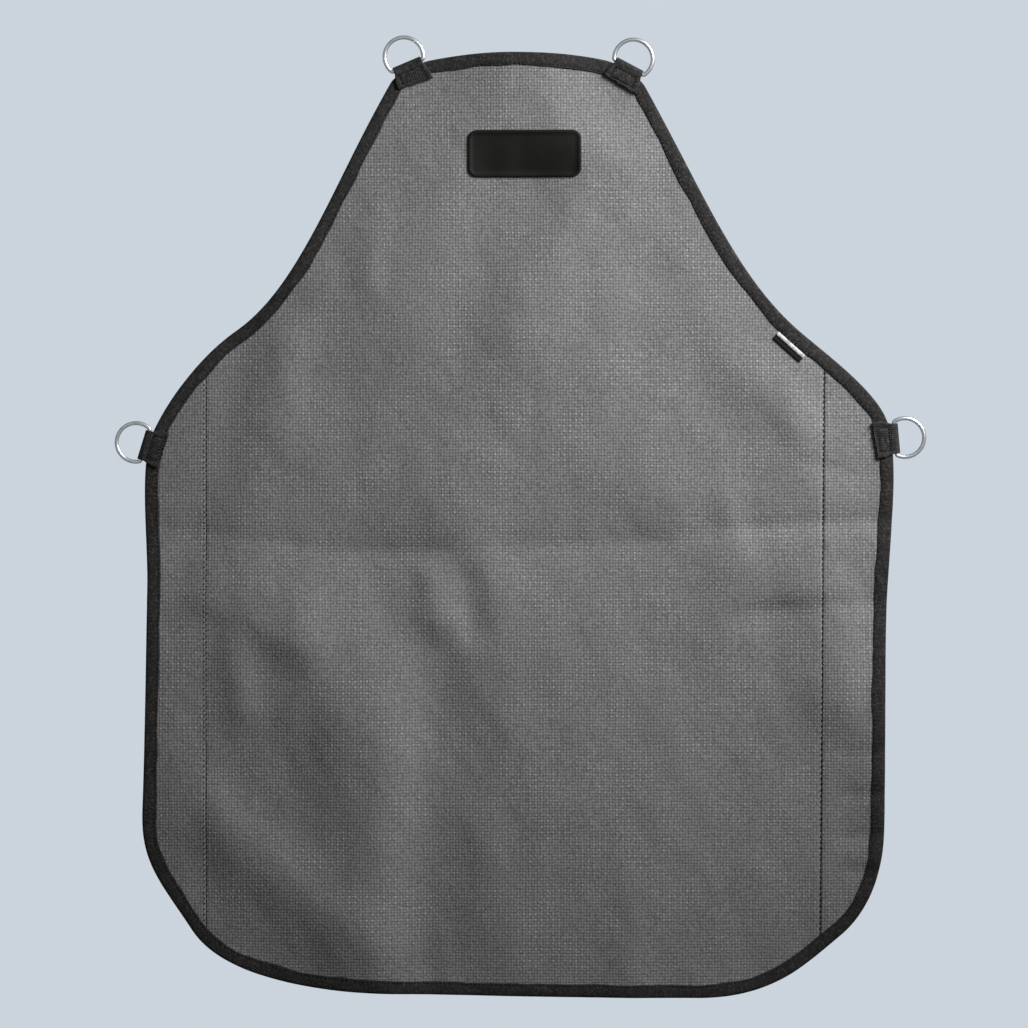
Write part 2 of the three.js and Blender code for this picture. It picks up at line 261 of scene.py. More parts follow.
def relief(x, z):
    """How far the cloth stands towards the front at a place."""
    down = min(1, max(0, -z / CROWN_LENGTH))
    height = CROWN * (1 - (x / CROWN_HALF_WIDTH) ** 2) * math.sin(math.pi * down) ** 0.5
    for fold in FOLDS:
        height += fold_height(x, z, fold[:7], *fold[7:])
    for rise, to_x, to_z, seed in WAVES:
        height += rise * noise.noise(Vector((x * to_x, z * to_z, seed)))
    spot = Vector((x, z))
    for corner, curl, reach in CORNER_CURLS:
        height -= curl * smooth(reach, 0, (spot - corner).length)
    for bar, _ in TABS.values():
        height *= smooth(STILL_NEAR_TAB, FREE_FROM_TAB, (spot - bar).length)
    return height


def lain(x, depth, z):
    """A point at a depth behind the cloth's middle plane, moved with the cloth's relief."""
    return Vector((x, depth - relief(x, z), z))


# -------- meshes
def placed(name, data):
    """A new object in the scene."""
    made = bpy.data.objects.new(name, data)
    bpy.context.scene.collection.objects.link(made)
    return made


class Shape:
    """Points and faces of one piece, with a strip map: metres along and across."""

    def __init__(self):
        self.points, self.faces, self.looks, self.places = [], [], [], []

    def add(self, points, faces, looks=None, places=None):
        base = len(self.points)
        self.points += points
        self.faces += [[base + i for i in face] for face in faces]
        self.looks += looks or [0] * len(faces)
        self.places += places or [(0.0, 0.0)] * len(points)

    def loft(self, sections, along, across, closed=False):
        """A tube through closed sections, capped at its ends or closed into a ring."""
        size = len(sections[0])
        faces = []
        for i in range(len(sections) - (0 if closed else 1)):
            here, there = i * size, ((i + 1) % len(sections)) * size
            for j in range(size):
                k = (j + 1) % size
                faces.append((here + j, here + k, there + k, there + j))
        if not closed:
            last = (len(sections) - 1) * size
            faces.append(tuple(range(size)))
            faces.append(tuple(last + j for j in reversed(range(size))))
        points = [point for section in sections for point in section]
        places = [(u, v) for u in along for v in across]
        self.add(points, faces, None, places)
        return self

    def piece(self, name, materials, body, slot, *nodes):
        """The finished object, riding on its body and standing for its CAD nodes."""
        mesh = bpy.data.meshes.new(name)
        mesh.from_pydata(self.points, [], self.faces)
        for material in materials:
            mesh.materials.append(material)
        mesh.polygons.foreach_set("material_index", self.looks)
        strip = mesh.uv_layers.new(name="Strip")
        for loop in mesh.loops:
            strip.data[loop.index].uv = self.places[loop.vertex_index]
        sorted_out = bmesh.new()
        sorted_out.from_mesh(mesh)
        bmesh.ops.recalc_face_normals(sorted_out, faces=sorted_out.faces)
        sorted_out.to_mesh(mesh)
        sorted_out.free()
        mesh.shade_smooth()
        made = placed(name, mesh)
        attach(made, body)
        if nodes:
            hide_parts(*nodes)
        return made


def crossings(outline, level):
    """Where a closed outline crosses the line z = level, from left to right."""
    found = []
    for i, b in enumerate(outline):
        a = outline[i - 1]
        if (a.y > level) != (b.y > level):
            found.append(a.x + (b.x - a.x) * (level - a.y) / (b.y - a.y))
    return sorted(found)


def grid_inside(outline, step, margin):
    """Grid points that keep a margin from an outline crossed twice by each level line."""
    low = min(point.y for point in outline)
    high = max(point.y for point in outline)
    points = []
    for row in range(math.ceil(low / step), math.floor(high / step) + 1):
        levels = [crossings(outline, row * step + shift) for shift in (-margin, 0, margin)]
        if all(len(level) == 2 for level in levels):
            left = max(level[0] for level in levels) + margin
            right = min(level[1] for level in levels) - margin
            for column in range(math.ceil(left / step), math.floor(right / step) + 1):
                points.append(Vector((column * step, row * step)))
    return points


def slab(outline, inner, front, back):
    """A thin closed solid. front and back give the point in space for a flat place (x, z).
    Its front faces get the first material and all the others the second."""
    count = len(outline)
    sides = [(i, (i + 1) % count) for i in range(count)]
    flat, _, triangles, *_ = delaunay_2d_cdt(outline + inner, sides, [], 1, 1e-7)
    points = [front(p.x, p.y) for p in flat] + [back(p.x, p.y) for p in flat]
    faces = [tuple(t) for t in triangles]
    used = {(t[i - 1], t[i]) for t in triangles for i in range(3)}
    looks = [0] * len(faces)
    n = len(flat)
    faces += [tuple(n + i for i in reversed(t)) for t in triangles]
    faces += [(b, a, n + a, n + b) for a, b in sorted(used) if (b, a) not in used]
    looks += [1] * (len(faces) - len(looks))
    shape = Shape()
    shape.add(points, faces, looks, [(p.x, p.y) for p in flat] * 2)
    return shape


# -------- materials
def tone(value):
    """A number stands for a grey. A colour or a socket stays as it is."""
    return (value, value, value, 1.0) if isinstance(value, (int, float)) else value


class Nodes:
    """A node tree to which nodes are added one by one."""

    def __init__(self, tree):
        self.tree = tree

    def feed(self, socket, value):
        if isinstance(value, bpy.types.NodeSocket):
            self.tree.links.new(value, socket)
        else:
            socket.default_value = value

    def node(self, kind, inputs, **settings):
        made = self.tree.nodes.new("ShaderNode" + kind)
        for name, value in settings.items():
            setattr(made, name, value)
        for socket, value in inputs.items():
            self.feed(made.inputs[socket], value)
        return made

    def axes(self, place):
        return self.node("SeparateXYZ", {0: place}).outputs

    def math(self, operation, a, b=0.0):
        return self.node("Math", {0: a, 1: b}, operation=operation).outputs[0]

    def plus(self, a, b):
        return self.math("ADD", a, b)

    def times(self, a, b):
        return self.math("MULTIPLY", a, b)

    def wave(self, place, length):
        return self.math("SINE", self.times(place, 2 * math.pi / length))

    def noise(self, place, scale, detail=2.0):
        settings = {"Vector": place, "Scale": scale, "Detail": detail}
        return self.node("TexNoise", settings).outputs[0]

    def patches(self, place, scale, detail, low, high, most=1.0):
        """Noise that is 0 where it is below low, and most where it is above high."""
        return self.ramp(self.noise(place, scale, detail), (low, 0.0), (high, most))

    def ramp(self, value, *stops):
        made = self.node("ValToRGB", {0: value})
        elements = made.color_ramp.elements
        while len(elements) < len(stops):
            elements.new(0.5)
        for element, (position, colour) in zip(elements, stops):
            element.position = position
            element.color = tone(colour)
        return made.outputs[0]

    def mix(self, factor, a, b):
        inputs = {0: factor, 6: tone(a), 7: tone(b)}
        return self.node("Mix", inputs, data_type="RGBA").outputs[2]


class Look(Nodes):
    """A material with one Principled shader."""

    def __init__(self, name, settings):
        self.material = bpy.data.materials.new(name)
        self.material.use_nodes = True
        super().__init__(self.material.node_tree)
        self.shader = self.tree.nodes["Principled BSDF"]
        self.place = self.node("TexCoord", {}).outputs["Object"]
        for socket, value in settings.items():
            self.shader.inputs[socket].default_value = value

    def strip_place(self):
        """Metres along and across the strip that a piece is made of."""
        return self.node("UVMap", {}, uv_map="Strip").outputs[0]

    def finish(self, colour, roughness, height, distance):
        self.feed(self.shader.inputs["Base Color"], colour)
        self.feed(self.shader.inputs["Roughness"], roughness)
        bump = self.node("Bump", {"Height": height, "Distance": distance})
        self.feed(self.shader.inputs["Normal"], bump.outputs[0])
        return self.material


PLATE_PITCH = 2.365 * MM
PLATE_JITTER = 0.22  # how far the plates stray from their lattice: 1 is a whole pitch
SECOND_JITTER = 0.10
PLATE_DRIFT = 1.6 * MM  # how far the whole lattice wanders
PLATE_RELIEF = 0.22 * MM


def plate_cloth(name, shift):
    """Grey cloth covered with small round plates in a square lattice, with a pit between every
    four. Every second plate each way stands a little higher and is painted paler, a painted
    highlight, more so in some places than in others."""
    look = Look(name, {"Specular IOR Level": 0.3, "Sheen Weight": 0.04})
    place = look.place
    x, _, z = look.axes(place)
    drift = look.times(look.noise(place, 16), PLATE_DRIFT)
    across = look.plus(look.plus(x, shift), drift)
    up = look.plus(z, drift)
    flat = look.node("CombineXYZ", {0: across, 1: up}).outputs[0]

    def lattice(pitch, randomness):
        """How far off the nearest plate is, in pitches, and that plate's random number."""
        settings = {"Vector": flat, "Scale": 1 / pitch, "Randomness": randomness}
        cells = look.node("TexVoronoi", settings, voronoi_dimensions="2D").outputs
        return cells["Distance"], look.node("SeparateColor", {0: cells["Color"]}).outputs[0]

    from_plate, shade = lattice(PLATE_PITCH, PLATE_JITTER)
    from_second, strength = lattice(2 * PLATE_PITCH, SECOND_JITTER)
    shade = look.ramp(shade, (0.1, 0.25), (0.8, 1.0))
    plate = look.ramp(from_plate, (0.12, 1.0), (0.36, 0.0))
    plate = look.times(plate, shade)
    pit = look.ramp(from_plate, (0.46, 0.0), (0.64, 1.0))
    # How strongly the second plates get their painted highlight, varying from place to place.
    painted_highlight_amount = look.ramp(look.noise(place, 30, 4), (0.42, 0.05), (0.60, 1.0))
    painted_highlight_amount = look.times(painted_highlight_amount, look.ramp(strength, (0.1, 0.45), (0.7, 1.0)))
    second = look.ramp(from_second, (0.13, 1.0), (0.23, 0.0))
    second = look.times(second, painted_highlight_amount)
    fibres = look.noise(place, 900, 3)
    speckle = look.patches(place, 460, 2, 0.36, 0.64)
    wear = look.patches(place, 9, 4, 0.35, 0.65)

    ground = look.mix(speckle, 0.109, 0.174)
    ground = look.mix(look.times(pit, 0.65), ground, 0.070)
    top = look.mix(wear, 0.270, 0.310)
    ground = look.mix(look.times(plate, 0.5), ground, top)
    # Painted highlight: the second plates are coloured paler.
    colour = look.mix(look.times(second, 0.55), ground, 0.380)
    rough = look.math("SUBTRACT", 0.74, look.times(plate, 0.24))
    height = look.plus(look.times(plate, 0.6), look.times(second, 0.4))
    height = look.math("SUBTRACT", height, look.times(pit, 0.5))
    height = look.plus(height, look.times(fibres, 0.35))
    return look.finish(colour, rough, height, PLATE_RELIEF)


WEAVE_PITCH = 2.4 * MM


def backing_cloth():
    """The plain side of the panels: a fine open weave without plates."""
    look = Look("backing_cloth", {"Sheen Weight": 0.12, "Sheen Roughness": 0.5})
    place = look.place
    x, _, z = look.axes(place)
    weave = look.times(look.wave(x, WEAVE_PITCH), look.wave(z, WEAVE_PITCH))
    fibres = look.noise(place, 700, 3)
    height = look.plus(weave, look.times(fibres, 0.8))
    wear = look.patches(place, 11, 4, 0.35, 0.65)
    colour = look.mix(wear, (0.085, 0.086, 0.088, 1), (0.112, 0.113, 0.115, 1))
    colour = look.mix(look.ramp(weave, (0.0, 0.0), (0.8, 0.6)), colour, 0.170)
    colour = look.mix(look.times(fibres, 0.4), colour, 0.050)
    return look.finish(colour, 0.82, height, 0.18 * MM)


def woven_tape(name, dark, light, rib, ribs_along):
    """Black woven tape, ribbed across or along its length, with lint and worn places."""
    look = Look(name, {"Specular IOR Level": 0.16, "Sheen Weight": 0.02})
    along, across, _ = look.axes(look.strip_place())
    ribbed, other = (across, along) if ribs_along else (along, across)
    ribs = look.wave(ribbed, rib)
    picks = look.wave(other, rib / 1.3)
    place = look.place
    fibres = look.noise(place, 800, 3)
    wear = look.patches(place, 95, 5, 0.36, 0.64)
    lint = look.patches(place, 480, 2, 0.50, 0.66, 0.75)
    dark_spots = look.patches(place, 260, 2, 0.50, 0.66, 0.7)
    height = look.plus(look.times(ribs, 0.5), look.times(picks, 0.35))
    height = look.plus(height, look.times(fibres, 2.2))
    colour = look.mix(wear, dark, light)
    colour = look.mix(look.ramp(ribs, (0.0, 0.0), (1.0, 0.14)), colour, 0.036)
    colour = look.mix(dark_spots, colour, 0.005)
    colour = look.mix(lint, colour, (0.060, 0.055, 0.052, 1))
    colour = look.mix(look.times(fibres, 0.5), colour, 0.006)
    rough = look.plus(0.62, look.times(wear, 0.2))
    return look.finish(colour, rough, height, 0.13 * MM)


def twisted_thread():
    """Black thread whose twist shows as slanting stripes."""
    look = Look("thread_look", {"Specular IOR Level": 0.15})
    along, around, _ = look.axes(look.strip_place())
    twist = look.wave(look.plus(along, around), 0.5 * MM)
    fibres = look.noise(look.place, 1500, 2)
    colour = look.mix(look.ramp(twist, (0.0, 0.0), (1.0, 1.0)), 0.006, 0.016)
    colour = look.mix(look.times(fibres, 0.5), colour, 0.003)
    return look.finish(colour, 0.55, twist, 0.05 * MM)


def chrome():
    """Plated wire with faint dents and a haze."""
    look = Look("chrome_look", {"Metallic": 1.0})
    place = look.place
    haze = look.noise(place, 260, 4)
    dents = look.noise(place, 150, 2)
    colour = look.mix(look.ramp(haze, (0.4, 0.0), (0.7, 1.0)), 0.84, (0.62, 0.63, 0.65, 1))
    rough = look.plus(0.26, look.times(haze, 0.12))
    return look.finish(colour, rough, dents, 0.01 * MM)


def rubber():
    """Black rubber with a fine grain and cloudy wear."""
    look = Look("rubber_look", {"Specular IOR Level": 0.10})
    place = look.place
    grain = look.noise(place, 1100, 3)
    cloud = look.patches(place, 45, 4, 0.35, 0.68)
    colour = look.mix(cloud, (0.0046, 0.0053, 0.0040, 1), (0.0076, 0.0084, 0.0066, 1))
    colour = look.mix(look.times(grain, 0.25), colour, 0.018)
    rough = look.plus(0.52, look.times(cloud, 0.14))
    return look.finish(colour, rough, grain, 0.06 * MM)


LABEL_WEAVE = 0.6 * MM
LABEL_PALE_FROM = 0.6 * MM  # where the black of the label ends, from its middle line


def label_cloth():
    """Woven label: soiled white along the tape and black along its free edge."""
    look = Look("label_look", {"Specular IOR Level": 0.15})
    along, across, _ = look.axes(look.strip_place())
    weave = look.times(look.wave(across, LABEL_WEAVE), look.wave(along, LABEL_WEAVE))
    white = look.math("GREATER_THAN", across, LABEL_PALE_FROM)
    fibres = look.noise(look.place, 900, 3)
    soiled = look.patches(look.place, 420, 3, 0.40, 0.62)
    pale = look.mix(soiled, 0.24, 0.46)
    dark = look.mix(fibres, 0.003, 0.010)
    return look.finish(look.mix(white, dark, pale), 0.75, weave, 0.05 * MM)


BACKING = backing_cloth()
TAPE_DARK = (0.0110, 0.0102, 0.0100, 1)
TAPE_LIGHT = (0.0270, 0.0254, 0.0244, 1)
TAPE = woven_tape("tape_look", TAPE_DARK, TAPE_LIGHT, 1.1 * MM, False)
WEBBING_DARK = (0.0120, 0.0112, 0.0108, 1)
WEBBING_LIGHT = (0.0300, 0.0285, 0.0272, 1)
WEBBING = woven_tape("webbing_look", WEBBING_DARK, WEBBING_LIGHT, 1.6 * MM, True)
THREAD = twisted_thread()
CHROME = chrome()
RUBBER = rubber()
LABEL = label_cloth()


# -------- cloth panels
LEFT_SEAM_X = -0.2545
RIGHT_SEAM_X = 0.2485  # at its top
RIGHT_SEAM_LEAN = 0.0035  # how far to the left it has come at the bottom


def left_seam(_):
    """Where the left seam lies. It runs straight down."""
    return LEFT_SEAM_X


def right_seam(z):
    """Where the right seam lies at a level."""
    return RIGHT_SEAM_X - RIGHT_SEAM_LEAN * (SEAM_TOP - z) / (SEAM_TOP - SEAM_BOTTOM)


SEAMS = (left_seam, right_seam)
SEAM_DIPS = (0.03 * MM, 0.32 * MM)  # how far the cloth turns in at each seam
SEAM_GAPS = (0.06 * MM, 0.30 * MM)  # between the panels at each seam
SEAM_ROUND = 1.6 * MM
SEAM_ROWS = (0.7 * MM, 1.6 * MM)  # extra rows of points beside each cut, to make it round
SEAM_ROWS_SHORT = 5 * MM  # how far from a cut's ends these rows stop
SEAM_CLEAR = 3 * MM  # no other points this close to a seam


def clipped(outline, seam, side):
    """The part of a closed outline to one side of a seam: side is 1 for its right, -1 its left."""

    def clear(point):
        return (point.x - seam(point.y)) * side - SEAM_GAPS[SEAMS.index(seam)] / 2

    kept = []
    for i, point in enumerate(outline):
        before = outline[i - 1]
        a, b = clear(before), clear(point)
        if (a > 0) != (b > 0):
            kept.append(before.lerp(point, a / (a - b)))
        if b > 0:
            kept.append(point)
    return kept


def divided(outline, step):
    """A closed outline with its long straight runs divided."""
    points = []
    for i, point in enumerate(outline):
        before = outline[i - 1]
        count = max(1, round((point - before).length / step))
        points += [before.lerp(point, (j + 1) / count) for j in range(count)]
    return points


def cloth_depth(x, z):
    """Half the cloth's thickness at a place, less beside a seam."""
    depth = CLOTH_HALF
    for seam, dip in zip(SEAMS, SEAM_DIPS):
        depth -= dip * smooth(SEAM_ROUND, 0, abs(x - seam(z)))
    return depth


def flat_area(outline):
    return abs(sum(outline[i - 1].cross(point) for i, point in enumerate(outline))) / 2


def panel(name, cuts, look):
    """One panel of the apron, cut from the whole cloth at its seams."""
    whole = []
    for distance in evenly(0, EDGE_LENGTH, CLOTH_STEP)[:-1]:
        point, away = edge_at(distance)
        whole.append(point - away * CLOTH_INSET)
    for seam, side in cuts:
        whole = clipped(whole, seam, side)
    outline = divided(whole, CLOTH_STEP)
    inner = grid_inside(outline, CLOTH_STEP, CLOTH_STEP / 2)
    rows = []
    for seam, side in cuts:
        gap = SEAM_GAPS[SEAMS.index(seam)]
        ends = [p.y for p in outline if abs(p.x - seam(p.y)) < gap]
        high, low = max(ends) - SEAM_ROWS_SHORT, min(ends) + SEAM_ROWS_SHORT
        for z in evenly(high, low, -CLOTH_STEP):
            for off in SEAM_ROWS:
                rows.append(Vector((seam(z) + side * (gap / 2 + off), z)))
    inner = [p for p in inner if min(abs(p.x - seam(p.y)) for seam in SEAMS) > SEAM_CLEAR]
    shape = slab(
        outline,
        inner + rows,
        lambda x, z: lain(x, -cloth_depth(x, z), z),
        lambda x, z: lain(x, cloth_depth(x, z), z),
    )
    made = shape.piece(name + "_cloth", (look, BACKING), "apron", "plate_cloth", name)
    size = tuple(max(places) - min(places) for places in zip(*outline))
    return made, size, flat_area(outline)


# The lattice of plates starts at a different place on each panel, as they were cut apart.
PANELS = [
    panel("main_panel", ((left_seam, 1), (right_seam, -1)), plate_cloth("main_cloth_look", 0.0)),
    panel("left_side_panel", ((left_seam, -1),), plate_cloth("left_cloth_look", 1.9 * MM)),
    panel("right_side_panel", ((right_seam, 1),), plate_cloth("right_cloth_look", 2.7 * MM)),
]

# -------- binding tape
# Half of the tape's outer face, from the front lip to the fold: (inset, depth), millimetres.
TAPE_FACE = (
    (10.25, 1.02), (10.1, 1.22), (9.7, 1.38), (9.2, 1.40), (8.85, 1.36), (8.4, 1.42),
    (7.6, 1.56), (6.2, 1.64), (4.6, 1.66), (3.0, 1.62), (1.7, 1.54), (0.8, 1.32),
    (0.25, 0.92), (0.04, 0.46), (0.0, 0.0),
)
TAPE_INSIDE = ((0.75, 0.90), (5.0, 0.90), (10.1, 0.91))  # half of its inner face, outwards in
TAPE_END_GAP = 0.15 * MM
TAPE_PUFF = 0.22  # how much the tape's outer face rises and falls, as a share of its depth
TAPE_PUFF_FROM = 1.17 * MM  # only what lies deeper than this does
TAPE_WANDER = 1.5 * MM  # how far the tape's inner edge strays slowly, and then quickly
TAPE_WOBBLE = 0.5 * MM


def tape_section():
    """The tape's section as (inset, depth), metres: its inner face first, then its outer one."""
    front = [(inset, -depth) for inset, depth in TAPE_INSIDE + TAPE_FACE]
    whole = [*TAPE_INSIDE[::-1], *front, *TAPE_FACE[-2::-1]]
    return [(inset * MM, depth * MM) for inset, depth in whole]


def running(points):
    """How far along a line of flat points each one lies."""
    lengths = [0.0]
    for a, b in zip(points, points[1:]):
        lengths.append(lengths[-1] + math.dist(a, b))
    return lengths


def wander(distance, per_metre, seed):
    """Noise between -1 and 1 along a length."""
    return noise.noise(Vector((distance * per_metre, seed, 0.0)))


def tape_wave(distance):
    """How far the tape's inner edge strays, as it was sewn on by hand."""
    return TAPE_WANDER * wander(distance, 38, 0.4) + TAPE_WOBBLE * wander(distance, 110, 2.4)


def binding(name, start, end):
    """A length of tape folded over the cloth's edge, from tab to tab."""
    section = tape_section()
    stations = evenly(start + TAPE_END_GAP, end - TAPE_END_GAP, TAPE_STEP)
    sections = []
    for distance in stations:
        point, away = edge_at(distance)
        wave = tape_wave(distance)
        puff = 1 + TAPE_PUFF * wander(distance, 70, 7.1)
        ring = []
        for inset, depth in section:
            reach = inset + (TAPE_SPREAD + wave) * (inset / TAPE_WIDTH) ** 3
            place = point - away * reach
            outer = depth * puff if abs(depth) > TAPE_PUFF_FROM else depth
            ring.append(lain(place.x, outer, place.y))
        sections.append(ring)
    shape = Shape().loft(sections, stations, running(section))
    return shape.piece(name + "_tape", (TAPE,), "apron", "binding_tape", name)


# -------- stitches
THREAD_RADIUS = 0.24 * MM
THREAD_SIDES = 6
# Along a stitch: how far it has come, its height in thread radii, and its thickness.
STITCH_SHAPE = (
    (0, -1.2, 0.6), (0.12, 0.2, 0.95), (0.5, 0.75, 1.05), (0.88, 0.2, 0.95), (1, -1.2, 0.6),
)


def add_stitch(shape, a, b, out, radius=THREAD_RADIUS):
    """One stitch from a to b, standing out from the cloth in the middle."""
    run = (b - a).normalized()
    side = run.cross(out).normalized()
    sections = []
    for share, rise, width in STITCH_SHAPE:
        centre = a.lerp(b, share) + out * rise * radius
        ring = []
        for i in range(THREAD_SIDES):
            turn = 2 * math.pi * i / THREAD_SIDES
            ring.append(centre + (side * math.cos(turn) + out * math.sin(turn)) * radius * width)
        sections.append(ring)
    along = [share * (b - a).length for share, _, _ in STITCH_SHAPE]
    shape.loft(sections, along, [i * radius for i in range(THREAD_SIDES)])


FRONT = Vector((0, -1, 0))
BACK = Vector((0, 1, 0))
TAPE_STITCH_DEPTH = 1.40 * MM
TAPE_STITCH_PITCH = 3.5 * MM
TAPE_STITCH_LENGTH = 2.7 * MM
STITCH_FOLLOWS = 0.5  # how much of the tape's wander the stitches share
STITCH_SPREAD = TAPE_SPREAD * 0.6


def binding_stitches(name, start, end):
    """The row of stitches along a binding's inner edge, on both faces."""
    shape = Shape()
    for distance in evenly(start, end, TAPE_STITCH_PITCH)[:-1]:
        for out, depth in ((FRONT, -TAPE_STITCH_DEPTH), (BACK, TAPE_STITCH_DEPTH)):
            ends = []
            for ahead in (0, TAPE_STITCH_LENGTH):
                point, away = edge_at(distance + ahead)
                wave = tape_wave(distance + ahead) * STITCH_FOLLOWS
                place = point - away * (STITCH_INSET + STITCH_SPREAD + wave)
                ends.append(lain(place.x, depth, place.y))
            add_stitch(shape, *ends, out)
    node = name + "_stitch"
    return shape.piece(name + "_thread", (THREAD,), "apron", "thread", node)


STITCH_STOPS = 13.9 * MM  # from the middle of a tab to where the row of stitches begins
pieces = []
at_tabs = [edge_near(bar) for bar, _ in TABS.values()]
names = ("top", "right_armhole", "skirt", "left_armhole")
for name, start, end in zip(names, at_tabs, at_tabs[1:] + at_tabs[:1]):
    if end < start:
        end += EDGE_LENGTH
    pieces.append(binding(name + "_binding", start, end))
    pieces.append(binding_stitches(name + "_binding", start + STITCH_STOPS, end - STITCH_STOPS))


SEAM_SHORT = 0.6 * MM  # how far a seam's stitches stop from the tape


def seam_ends(seam):
    """The levels between which a seam shows, inside the tape."""
    inside = []
    for distance in evenly(0, EDGE_LENGTH, TAPE_STEP)[:-1]:
        point, away = edge_at(distance)
        inside.append(point - away * (TAPE_WIDTH + SEAM_SHORT))
    found = []
    for i, point in enumerate(inside):
        before = inside[i - 1]
        if (before.x > seam(before.y)) != (point.x > seam(point.y)):
            found.append(point.y)
    return max(found), min(found)


SEAM_DEPTH = CLOTH_HALF + 0.02 * MM
TURNED_IN_DEPTH = CLOTH_HALF - 0.1 * MM
# Stitches of each seam: where its rows lie, the pitch from one stitch to the next of any row,
# their length, radius and depth on the front. The left seam has a row either side of the join,
# and the right seam has one that lies in the turned-in seam.
LEFT_STITCHES = ((-0.95 * MM, 0.95 * MM), 2.25 * MM, 1.5 * MM, 0.29 * MM, SEAM_DEPTH)
RIGHT_STITCHES = ((0,), 4.7 * MM, 3.5 * MM, 0.34 * MM, TURNED_IN_DEPTH)
ALLOWANCE_HALF = 5.5 * MM
ALLOWANCE_THICKNESS = 0.5 * MM
ALLOWANCE_GAP = 0.05 * MM
ALLOWANCE_BULGE = 0.2 * MM
ALLOWANCE_DENT = 1.5 * MM  # half the width of the dent that the stitches pull into it
ALLOWANCE_DENTED = 0.8  # how much of its thickness is left there


def seam_stitches(name, seam, rows, pitch, length, radius, depth):
    """Stitches along a seam, on both faces. Where there are two rows they are staggered."""
    top, bottom = seam_ends(seam)
    shape = Shape()
    for number, z in enumerate(evenly(bottom, top, pitch)[:-1]):
        x = seam(z) + rows[number % len(rows)]
        for out, deep in ((FRONT, depth), (BACK, SEAM_DEPTH + ALLOWANCE_THICKNESS)):
            ends = [lain(x, deep * out.y, level) for level in (z, z + length)]
            add_stitch(shape, *ends, out, radius)
    return shape.piece(name + "_thread", (THREAD,), "apron", "thread", name + "_stitch")


def allowance(name, seam):
    """The turned-back strip of cloth behind a seam."""
    top, bottom = seam_ends(seam)
    levels = evenly(bottom, top, CLOTH_STEP)
    half = ALLOWANCE_HALF
    edge = half + ALLOWANCE_BULGE
    thick = ALLOWANCE_THICKNESS
    near = CLOTH_HALF + ALLOWANCE_GAP
    far = near + thick
    profile = [(-half, near), (half, near), (edge, near + thick / 2), (half, far)]
    profile += [(ALLOWANCE_DENT, far), (0, near + thick * ALLOWANCE_DENTED), (-ALLOWANCE_DENT, far)]
    profile += [(-half, far), (-edge, near + thick / 2)]
    sections = [[lain(seam(z) + x, y, z) for x, y in profile] for z in levels]
    shape = Shape().loft(sections, levels, running(profile))
    return shape.piece(name, (BACKING,), "apron", "plate_cloth")


pieces += [
    seam_stitches("left_seam", left_seam, *LEFT_STITCHES),
    seam_stitches("right_seam", right_seam, *RIGHT_STITCHES),
    allowance("left_seam_allowance", left_seam),
    allowance("right_seam_allowance", right_seam),
]

# -------- tabs and rings


class TabPlace:
    """Turns a tab's own directions into the row frame: sideways, outwards and depth."""

    def __init__(self, bar, angle):
        turn = math.radians(angle)
        self.bar = bar
        self.out = Vector((math.cos(turn), math.sin(turn)))
        self.side = Vector((math.sin(turn), -math.cos(turn)))

    def at(self, side, out, depth):
        flat = self.bar + self.side * side + self.out * out
        return Vector((flat.x, depth, flat.y))


def tab_stations():
    """The webbing's middle line as (outwards, depth, outward side), front end to back end."""
    leg = evenly(-TAB_REACH, 0, 0.6 * MM)
    front = [(out, -TAB_TURN, (0, -1)) for out in leg]
    turn = []
    for angle in evenly(-math.pi / 2, math.pi / 2, math.pi / 14)[1:-1]:
        c, s = math.cos(angle), math.sin(angle)
        turn.append((TAB_TURN * c, TAB_TURN * s, (c, s)))
    back = [(out, TAB_TURN, (0, 1)) for out in reversed(leg)]
    return front + turn + back


TAB_COLUMNS = 34
TAB_DENT = 0.50 * MM  # how deep the stitching presses the webbing in
TAB_DENT_WIDTH = 1.0 * MM
TAB_FLARE = 1.9 * MM  # how far each side of the sewn end spreads
TAB_FLARES = (0.15, 0.7)  # from where and to where, as shares of its reach
TAB_RAGGED = 1.3 * MM  # how uneven the cut ends are
TAB_RAGS = (420, 400, 1e4)  # how finely, across, in depth and from tab to tab
TAB_BULGE = 1.012  # how far each rounded side stands out, as a share of half the width
TAB_THINNED = 0.35  # how much thinner the webbing is at its sides
TAB_THIN_FROM = 0.93  # from this share of half its width
# How much longer each tab's front end is, at its two sides.
TAB_TAILS = {
    "neck_left": (0.8 * MM, 3.6 * MM),
    "neck_right": (0.6 * MM, 2.4 * MM),
    "waist_right": (4.2 * MM, 1.6 * MM),
    "waist_left": (1.4 * MM, 1.8 * MM),
}


def tab_dent(side, out):
    """How far the box of stitches presses the webbing in at a place."""
    from_rows = min(abs(out - row) for row in TAB_ROWS)
    if TAB_ROWS[1] < out < TAB_ROWS[0]:
        from_rows = min(from_rows, abs(abs(side) - TAB_STITCH_HALF))
    if abs(side) > TAB_STITCH_HALF + TAB_DENT_WIDTH:
        return 0.0
    return TAB_DENT * math.exp(-((from_rows / TAB_DENT_WIDTH) ** 2))


